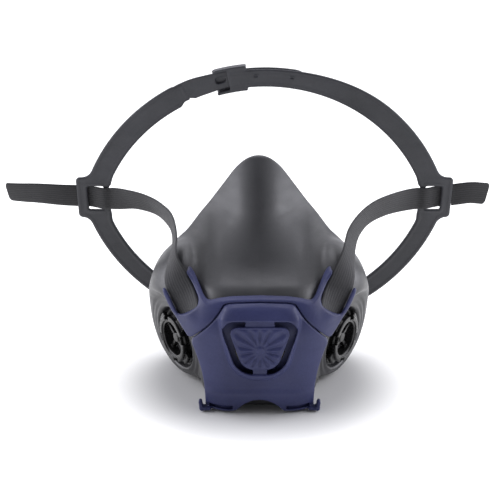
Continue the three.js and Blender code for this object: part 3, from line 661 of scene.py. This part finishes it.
def turned(name, profile, place, material, count=96):
    """Thin turned part from a closed profile of (radius, height)."""
    rows = []
    for i in range(count):
        a = 2 * math.pi * i / count
        rows.append([(r * math.cos(a), h, -r * math.sin(a)) for r, h in profile])
    n, m = count, len(profile)
    pts = place(np.array(rows).reshape(-1, 3))
    faces = [
        (i * m + j, i * m + (j + 1) % m, ((i + 1) % n) * m + (j + 1) % m, ((i + 1) % n) * m + j)
        for i in range(n) for j in range(m)
    ]
    faces = np.array(faces)
    a, b, c = pts[faces[:, 0]], pts[faces[:, 1]], pts[faces[:, 2]]
    if (np.cross(b - a, c - a) * a).sum() < 0:
        faces = faces[:, ::-1]
    return to_object(name, pts, faces, material)


def flap_profile(r0, r1, h0, h1):
    """Thin disc with a beaded rim and a shallow ring step."""
    t = h1 - h0
    mid = r0 + 0.35 * (r1 - r0)
    under = [(r0, 0), (mid, 0), (mid + 0.4, 0.12), (r1 - 0.9, 0.12), (r1 - 0.5, 0), (r1 - 0.1, 0.1)]
    low = [(r, h0 + q * t) for r, q in under]
    high = [(r, h1 - q * t) for r, q in reversed(under)]
    return [*low, (r1, (h0 + h1) / 2), *high]


for name, side in (("left", -1), ("right", 1)):
    s = np.array((side, 1, 1))
    place = axis_place(SEAT * s, PORT * s)
    turned_field = port_field if side > 0 else (lambda u, h, w: port_field(-u, h, w))
    port = moulded("port_" + name + "_body", turned_field, (-19, -7, -19), (19, 9, 19), 0.3, BLACK, place)
    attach(port, "mask")
    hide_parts("port_" + name)
    low, high = (-18, -6.5, -18), (18, -1.5, 18)
    clamp = moulded("port_" + name + "_clamp", retainer_field, low, high, 0.3, BLACK, place)
    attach(clamp, "mask")
    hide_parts("port_retainer_" + name)
    flap = turned("inhale_" + name + "_disc", flap_profile(1.7, 9.9, 1.2, 1.8), place, SILICONE)
    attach(flap, "inhale_flap_" + name[0])
    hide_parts("inhale_flap_" + name)

valve_place = axis_place((0, VALVE_Y, VALVE_Z), (0, -1, 0))
seat = moulded("exhale_seat_body", seat_field, (-15, -4.5, -15), (15, 7, 15), 0.3, BLACK, valve_place)
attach(seat, "mask")
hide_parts("exhale_valve_seat")
flap = turned("exhale_disc", flap_profile(1.6, 11.6, 4.5, 5.0), valve_place, SILICONE)
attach(flap, "exhale_flap")
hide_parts("exhale_valve_flap")

# ---------------------------------------------------------------- cradle ring
# x across, s up the ring's plane, f towards the front
RING_UP = np.array((0, -math.sin(LEAN), math.cos(LEAN)))
RING_FRONT = np.array((0, -math.cos(LEAN), -math.sin(LEAN)))
RING_BASE = np.array((SHIFT, RING_Y, RING_Z))


def on_ring(q):
    q = np.asarray(q, float)
    return RING_BASE + q[..., 0:1] * (1, 0, 0) + q[..., 1:2] * RING_UP + q[..., 2:3] * RING_FRONT


CROWN_S, CROWN_IN, CROWN_OUT = 62.5, 110.0, 124.0
CROWN_MID = 117.0
ARC = 2.04  # mm along the crown's middle line for each degree
NECK_S, NECK_IN, NECK_OUT = 121.0, 107.5, 121.0


def slab(flat, f, mid=0.0, half=HALF, r=0.55):
    """Outline extruded to a thickness with rolled edges."""
    q = np.abs(f - mid) - half + r
    p = flat + r
    return np.hypot(np.maximum(q, 0), np.maximum(p, 0)) + np.minimum(np.maximum(q, p), 0) - r


def crown_angle(x, s):
    return np.degrees(np.arctan2(s - CROWN_S, x))


def peg_place(x, s, deg):
    """Along and across the crown from a point of its middle line."""
    c, n = math.cos(math.radians(deg)), math.sin(math.radians(deg))
    dx, ds = x - CROWN_MID * c, s - CROWN_S - CROWN_MID * n
    return dx * n - ds * c, dx * c + ds * n


def cradle_field(x, s, f):
    rn = np.hypot(x, s - NECK_S)
    neck = np.maximum(np.abs(rn - (NECK_IN + NECK_OUT) / 2) - (NECK_OUT - NECK_IN) / 2, s - 90)
    rc = np.hypot(x, s - CROWN_S)
    a = crown_angle(x, s)
    outer = CROWN_OUT - 3.0 * step(a, 50, 86)
    right = np.maximum(np.maximum(CROWN_IN - rc, rc - outer), np.maximum(108 - s, (a - 101.2) * ARC))
    right = np.where(s > CROWN_S, right, 60.0)
    lip = 2.0 * step(-a, -118.5, -116.0)
    left = np.maximum(CROWN_IN + lip - rc, rc - CROWN_OUT + 0.4 * lip)
    left = np.maximum(left, np.maximum(108 - s, (114.4 - a) * ARC))
    left = np.where(x < 0, left, 60.0)
    ax = np.abs(x)
    block = box2(ax - 111.7, s - 98.3, 10.4, 14.1, 2.6)
    hole = box2(ax - 109.8, s - 98.1, 5.2, 8.2, 1.0)
    flat = np.minimum(np.minimum(neck, right), left)
    flat = smin(flat, block, 5.0)
    flat = np.where(s > 60, np.maximum(flat, -hole), flat)
    d = slab(flat, f)
    # thin raised border on the front and back of the bands
    rail = np.hypot(np.maximum(np.abs(flat + 1.5) - 0.45, 0), np.maximum(np.abs(f) - HALF - 0.05, 0)) - 0.22
    d = smin(d, rail, 0.5)
    # keeper round the tongue
    span = np.abs(a - 98.4) * ARC - 5.7
    span_top = np.abs(a - 100.3) * ARC - 9.6
    span_rear = np.abs(a - 100.6) * ARC - 10.2
    keep = smax(smax(np.abs(rc - 122.8) - 0.85, np.abs(f + 1.9) - 2.8, 0.5), span_top, 0.8)
    keep = smin(keep, smax(smax(np.abs(rc - 109.1) - 0.9, np.abs(f + 1.9) - 2.8, 0.5), span_rear, 0.8), 0.4)
    keep = smin(keep, smax(smax(np.abs(rc - 116.0) - 7.4, np.abs(f + 4.2) - 0.6, 0.5), span_rear, 0.8), 0.5)
    keep = smin(keep, smax(smax(np.abs(rc - 116.0) - 7.4, np.abs(f) - 0.95, 0.5), span, 0.8), 0.5)
    d = smin(d, keep, 0.5)
    # pegs on the back of the right half and their pits on the front
    for deg in PEGS:
        u, v = peg_place(x, s, deg)
        peg = smax(box2(u, v, 2.9, 1.45, 1.4), np.abs(f + 1.7) - 1.9, 0.4)
        d = smin(d, peg, 0.3)
        pit = np.maximum(box2(u, v, 1.5, 0.7, 0.65), 0.25 - f)
        d = smax(d, -pit, 0.3)
    return d


PITCH = math.degrees(22 / CROWN_MID)
PEGS = (92.8, 92.8 - PITCH)
cradle = moulded("cradle_moulding", cradle_field, (-125, -2, -6), (125, 190, 2.2), 0.6, CRADLE, on_ring)
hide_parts("neck_band", "buckle_left", "buckle_right", "crown_band_right")
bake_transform(cradle)


def tongue_field(x, s, f):
    rc = np.hypot(x, s - CROWN_S)
    a = crown_angle(x, s)
    drop = -2.2 * step(-a, -109, -101.5)
    taper = step(-a, -81, -77)
    thin = step(-a, -114, -100)
    mid, halfw = 117.45 - 1.1 * thin - 0.3 * taper, 6.2 - 1.1 * thin - 1.4 * taper
    flat = smax(np.abs(rc - mid) - halfw, np.abs(a - 97.4) * ARC - 41.6, 2.5)
    for deg in (*PEGS, PEGS[0] + PITCH):
        u, v = peg_place(x, s, deg)
        flat = np.maximum(flat, -box2(u, v, 3.4, 1.9, 1.85))
    return slab(flat, f, drop, 0.82, 0.5)


tongue = moulded("crown_tongue", tongue_field, (-60, 165, -5), (32, 190, 2.2), 0.45, CRADLE, on_ring)
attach(tongue, "crown")
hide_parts("crown_band_left")


# ---------------------------------------------------------------- webbing
def front_y(x, z, level):
    """Where the rubber's surface, raised by level, is met from the front."""
    y = -90.0
    for _ in range(80):
        d = float(form(np.float64(x), np.float64(y), np.float64(z))) - level
        if d < 1e-3:
            return y
        y += max(0.4 * d, 0.004)
    return y


def slope(p):
    """Outward normal of the rubber's surface."""
    e = 0.2
    g = [float(form(*(p + e * a)) - form(*(p - e * a))) for a in np.eye(3)]
    return unit(g)


def catmull(points, t):
    """Centripetal Catmull-Rom through points, t from 0 to 1, as in the CAD."""
    pts = np.asarray(points, float)
    n = len(pts)
    p = (n - 1) * t
    i = min(int(math.floor(p)), n - 2) if t < 1 else n - 2
    w = p - i
    p1, p2 = pts[i], pts[i + 1]
    p0 = pts[i - 1] if i > 0 else 2 * pts[0] - pts[1]
    p3 = pts[i + 2] if i + 2 < n else 2 * pts[-1] - pts[-2]
    d0 = max(np.dot(p0 - p1, p0 - p1) ** 0.25, 1e-4)
    d1 = max(np.dot(p1 - p2, p1 - p2) ** 0.25, 1e-4)
    d2 = max(np.dot(p2 - p3, p2 - p3) ** 0.25, 1e-4)
    t1 = ((p1 - p0) / d0 - (p2 - p0) / (d0 + d1) + (p2 - p1) / d1) * d1
    t2 = ((p2 - p1) / d1 - (p3 - p1) / (d1 + d2) + (p3 - p2) / d2) * d1
    c2 = -3 * p1 + 3 * p2 - 2 * t1 - t2
    c3 = 2 * p1 - 2 * p2 + t1 + t2
    return p1 + t1 * w + c2 * w * w + c3 * w ** 3


HINGE = np.array((47.0, front_y(47, 68.6, 2.6), 68.6))

# free strap from the hinge to the buckle, each side's stations as middle point and width direction
STRAP_RUN = {
    -1: [
        (50.3, -11, 79.2, -0.43, -0.60, 0.67),
        (49.6, 0, 86.6, -0.23, -0.50, 0.83),
        (51.6, 13, 92.8, -0.04, -0.34, 0.94),
        (57.4, 28, 95.8, 0.15, -0.32, 0.93),
        (67.1, 43, 98, 0.24, -0.38, 0.89),
        (81.2, 55, 98.7, 0.18, -0.38, 0.91),
    ],
    1: [
        (51.5, -8, 79.8, -0.51, -0.44, 0.74),
        (54.7, 5, 87.2, -0.35, -0.34, 0.87),
        (59.1, 15, 91.8, -0.14, -0.30, 0.94),
        (67.9, 29, 96, 0.04, -0.27, 0.96),
        (82.4, 45, 98, 0.08, -0.26, 0.96),
    ],
}


def strap_points(side):
    """Stations from the yoke's cup over the hinge to the buckle, each a middle point and width direction."""
    sg = np.array((side, 1, 1))

    def on(x, z, level):
        return np.array((x, front_y(x, z, level), z))

    def flat(c, w):
        g = slope(c)
        u = np.array(w, float)
        return unit(u - u.dot(g) * g)

    lift = 2.5
    rows = [
        (on(38, 54.4, lift), flat(on(38, 54.4, 0), (-0.80, 0.10, 0.52))),
        (on(40.8, 58.8, lift), flat(on(40.8, 58.8, 0), (-0.80, 0.10, 0.52))),
        (on(44, 64, lift), flat(on(44, 64, 0), (-0.84, 0.05, 0.46))),
        (HINGE, flat(HINGE, (-0.86, 0.0, 0.42))),
        *((np.array(q[:3]), unit(q[3:])) for q in STRAP_RUN[side]),
    ]
    out = [(c * sg, w * sg) for c, w in rows]
    front, back = HALF + 1.2, -HALF - 1.2
    over = ((99, front + 0.1), (104.8, front + 0.1), (109.6, 0))
    behind = ((114.6, back), (119, back - 0.1), (121.4, back - 0.1))
    for x, f in (*over, *behind):
        out.append((on_ring((side * x, SLOT_S, f)), RING_UP))
    return out


def along_strap(points, count):
    """Middle line, width direction, normal and length run at even steps along the strap."""
    cs, ws = [p for p, _ in points], [unit(w) for _, w in points]
    ts = np.linspace(0, 1, count + 1)
    c = np.array([catmull(cs, t) for t in ts])
    w = np.array([catmull(ws, t) for t in ts])
    tangent = np.gradient(c, axis=0)
    tangent /= np.linalg.norm(tangent, axis=1, keepdims=True)
    w -= (w * tangent).sum(1, keepdims=True) * tangent
    w /= np.linalg.norm(w, axis=1, keepdims=True)
    n = np.cross(w, tangent)
    run = np.concatenate([[0], np.cumsum(np.linalg.norm(np.diff(c, axis=0), axis=1))])
    return c, w, n, run


def webbing(name, c, w, n, run, round_end=False):
    """Ribbed woven strap with soft selvedges, as one closed mesh."""
    cols = 40
    u = np.linspace(-1, 1, cols + 1)
    a, b = WEB_WIDE / 2, WEB_THICK / 2
    # half thickness across the width: ribs and thinner, rounded edges
    edge = np.sqrt(np.maximum(1 - np.abs(u) ** 10, 0)) * 0.92 + 0.08 * (1 - u * u)
    ribs = 0.03 * np.cos(u * a * 2 * math.pi / RIB_PITCH)
    t = (b - 0.08) * edge + ribs * edge
    t[0] = t[-1] = 0.12
    rows = []
    total = run[-1]
    for i in range(len(c)):
        wide = a
        if round_end:
            left = total - run[i]
            if left < 2.0:
                wide = a - 2.0 + math.sqrt(max(4.0 - (2.0 - left) ** 2, 0.0))
        top = [c[i] + w[i] * (q * wide) + n[i] * h for q, h in zip(u, t)]
        low = [c[i] + w[i] * (q * wide) - n[i] * h for q, h in zip(u[::-1], t[::-1])]
        rows.append(top + low)
    rows = np.array(rows)
    k, m = rows.shape[:2]
    pts = rows.reshape(-1, 3)
    faces = [
        (i * m + j, i * m + (j + 1) % m, (i + 1) * m + (j + 1) % m, (i + 1) * m + j)
        for i in range(k - 1) for j in range(m)
    ]
    # ends closed strip by strip
    for base, turn in ((0, False), ((k - 1) * m, True)):
        for j in range(cols):
            q = (base + j, base + j + 1, base + m - 2 - j, base + m - 1 - j)
            faces.append(q if turn else q[::-1])
    faces = np.array(faces)
    p0, p1, p2 = pts[faces[:, 0]], pts[faces[:, 1]], pts[faces[:, 2]]
    if (np.cross(p1 - p0, p2 - p0) * (p0 - pts.mean(0))).sum() < 0:
        faces = faces[:, ::-1]
    obj = to_object(name, pts, faces, WEB)
    weave = np.zeros((len(pts), 3), np.float32)
    across = np.concatenate([u * a, u[::-1] * a])
    weave[:, 0] = np.repeat(run, m)
    weave[:, 1] = np.tile(across, k)
    attr = obj.data.attributes.new("weave", "FLOAT_VECTOR", "POINT")
    attr.data.foreach_set("vector", weave.ravel())
    return obj


for name, side in (("left", -1), ("right", 1)):
    pts = strap_points(side)
    c, w, n, run = along_strap(pts, 240)
    strap = webbing("webbing_" + name, c, w, n, run)
    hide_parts("strap_anchor_" + name, "strap_" + name)
    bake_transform(strap)
    # mm long, degrees of twist, mm of drift up, mm along to settle in it, mm of fall at the end
    length, twist, rise, settle, fall = (46, 18, 3.4, 28, 0) if side < 0 else (24, 0, 3.7, 14, 2)
    tail = []
    for t in np.linspace(-1.9, length - 2, 9):
        u = max(t, 0) / (length - 2)
        drift = rise * step(t, -6, settle) - fall * u * u
        bend = 0.07 * length * math.sin(math.pi * u * 0.9)
        turn = math.radians(twist * u)
        place = on_ring((side * (TAIL_X + t), SLOT_S + drift, -HALF - 1.3 + bend))
        tail.append((place, RING_UP * math.cos(turn) + RING_FRONT * math.sin(turn)))
    c, w, n, run = along_strap(tail, 90)
    end = webbing("webbing_tail_" + name, c, w, n, run, round_end=True)
    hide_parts("strap_tail_" + name)
    near, far = (on_ring((side * across, SLOT_S, -HALF - 1.3)) * MM for across in (121.6, 125.5))
    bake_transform(end)

# ---------------------------------------------------------------- floor, world, lights
floor_mat, nt, b = nodes_of("paper_floor")
v = coords(nt)
paper = [(0.3, (0.56, 0.56, 0.55)), (0.7, (0.60, 0.60, 0.59))]
nt.links.new(ramp(nt, noise(nt, v, 3.0, 3.0), paper), b.inputs["Base Color"])
b.inputs["Roughness"].default_value = 0.8
b.inputs["Specular IOR Level"].default_value = 0.1
# painted glow: the sweep of paper emits light away from the object, as a lit background does, and has none
# close to the object
vl = nt.nodes.new("ShaderNodeVectorMath")
vl.operation = "LENGTH"
nt.links.new(nt.nodes.new("ShaderNodeTexCoord").outputs["Object"], vl.inputs[0])
glow = nt.nodes.new("ShaderNodeMapRange")
glow.interpolation_type = "SMOOTHSTEP"
glow.inputs["From Min"].default_value = 0.05
glow.inputs["From Max"].default_value = 0.11
glow.inputs["To Min"].default_value = 0.0
glow.inputs["To Max"].default_value = 0.80
nt.links.new(vl.outputs["Value"], glow.inputs["Value"])
nt.links.new(glow.outputs["Result"], b.inputs["Emission Strength"])
b.inputs["Emission Color"].default_value = (1.0, 1.0, 1.0, 1.0)
REACH = 30000
corners = [(i * REACH, j * REACH, -0.05) for i, j in ((-1, -1), (1, -1), (1, 1), (-1, 1))]
floor = to_object("floor", np.array(corners), np.array([(0, 1, 2, 3)]), floor_mat, False)

world = bpy.data.worlds.new("studio")
scene.world = world
world.use_nodes = True
wt = world.node_tree
bg = wt.nodes["Background"]
wc = wt.nodes.new("ShaderNodeTexCoord")
sep = wt.nodes.new("ShaderNodeSeparateXYZ")
wt.links.new(wc.outputs["Generated"], sep.inputs[0])
# bright low down all round and up both sides, dim along the middle overhead and behind the camera
high = spread(wt, sep.outputs["Z"], 0.0, 0.74, 0.25, 0.75)
beside = spread(wt, calc(wt, "ABSOLUTE", sep.outputs["X"], 0.0), 1.0, 0.0, 0.12, 0.50)
ahead = spread(wt, sep.outputs["Y"], 1.0, 0.0, 0.38, 0.60)
roof = calc(wt, "SUBTRACT", 1.0, calc(wt, "MULTIPLY", calc(wt, "MULTIPLY", high, beside), ahead))
near = spread(wt, sep.outputs["Y"], 0.12, 1.0, -0.75, -0.25)
skyline = spread(wt, sep.outputs["Z"], 1.0, 0.0, 0.08, 0.18)
level = calc(wt, "MAXIMUM", calc(wt, "MULTIPLY", roof, near), skyline)
comb = wt.nodes.new("ShaderNodeCombineXYZ")
for k, cast in enumerate((0.985, 0.985, 1.055)):
    wt.links.new(calc(wt, "MULTIPLY", level, cast), comb.inputs[k])
wt.links.new(comb.outputs[0], bg.inputs["Color"])
bg.inputs["Strength"].default_value = 1.1


def soft_light(name, place, target, size, power):
    data = bpy.data.lights.new(name, "AREA")
    data.shape = "RECTANGLE"
    data.size, data.size_y = size
    data.energy = power
    data.color = (0.96, 0.96, 1.03)
    obj = bpy.data.objects.new(name, data)
    scene.collection.objects.link(obj)
    obj.location = place
    obj.rotation_euler = (Vector(target) - Vector(place)).to_track_quat("-Z", "Y").to_euler()


soft_light("left_box", (-1.0, 0.15, 0.55), (0, 0.0, 0.07), (0.9, 0.7), 8.5)
soft_light("right_box", (1.0, 0.15, 0.55), (0, 0.0, 0.07), (0.9, 0.7), 8.5)
soft_light("top_box", (0.0, 0.60, 1.1), (0, 0.03, 0.05), (0.6, 0.4), 3.0)

scene.view_settings.view_transform = "Standard"
scene.view_settings.look = "None"
scene.view_settings.exposure = 0.0
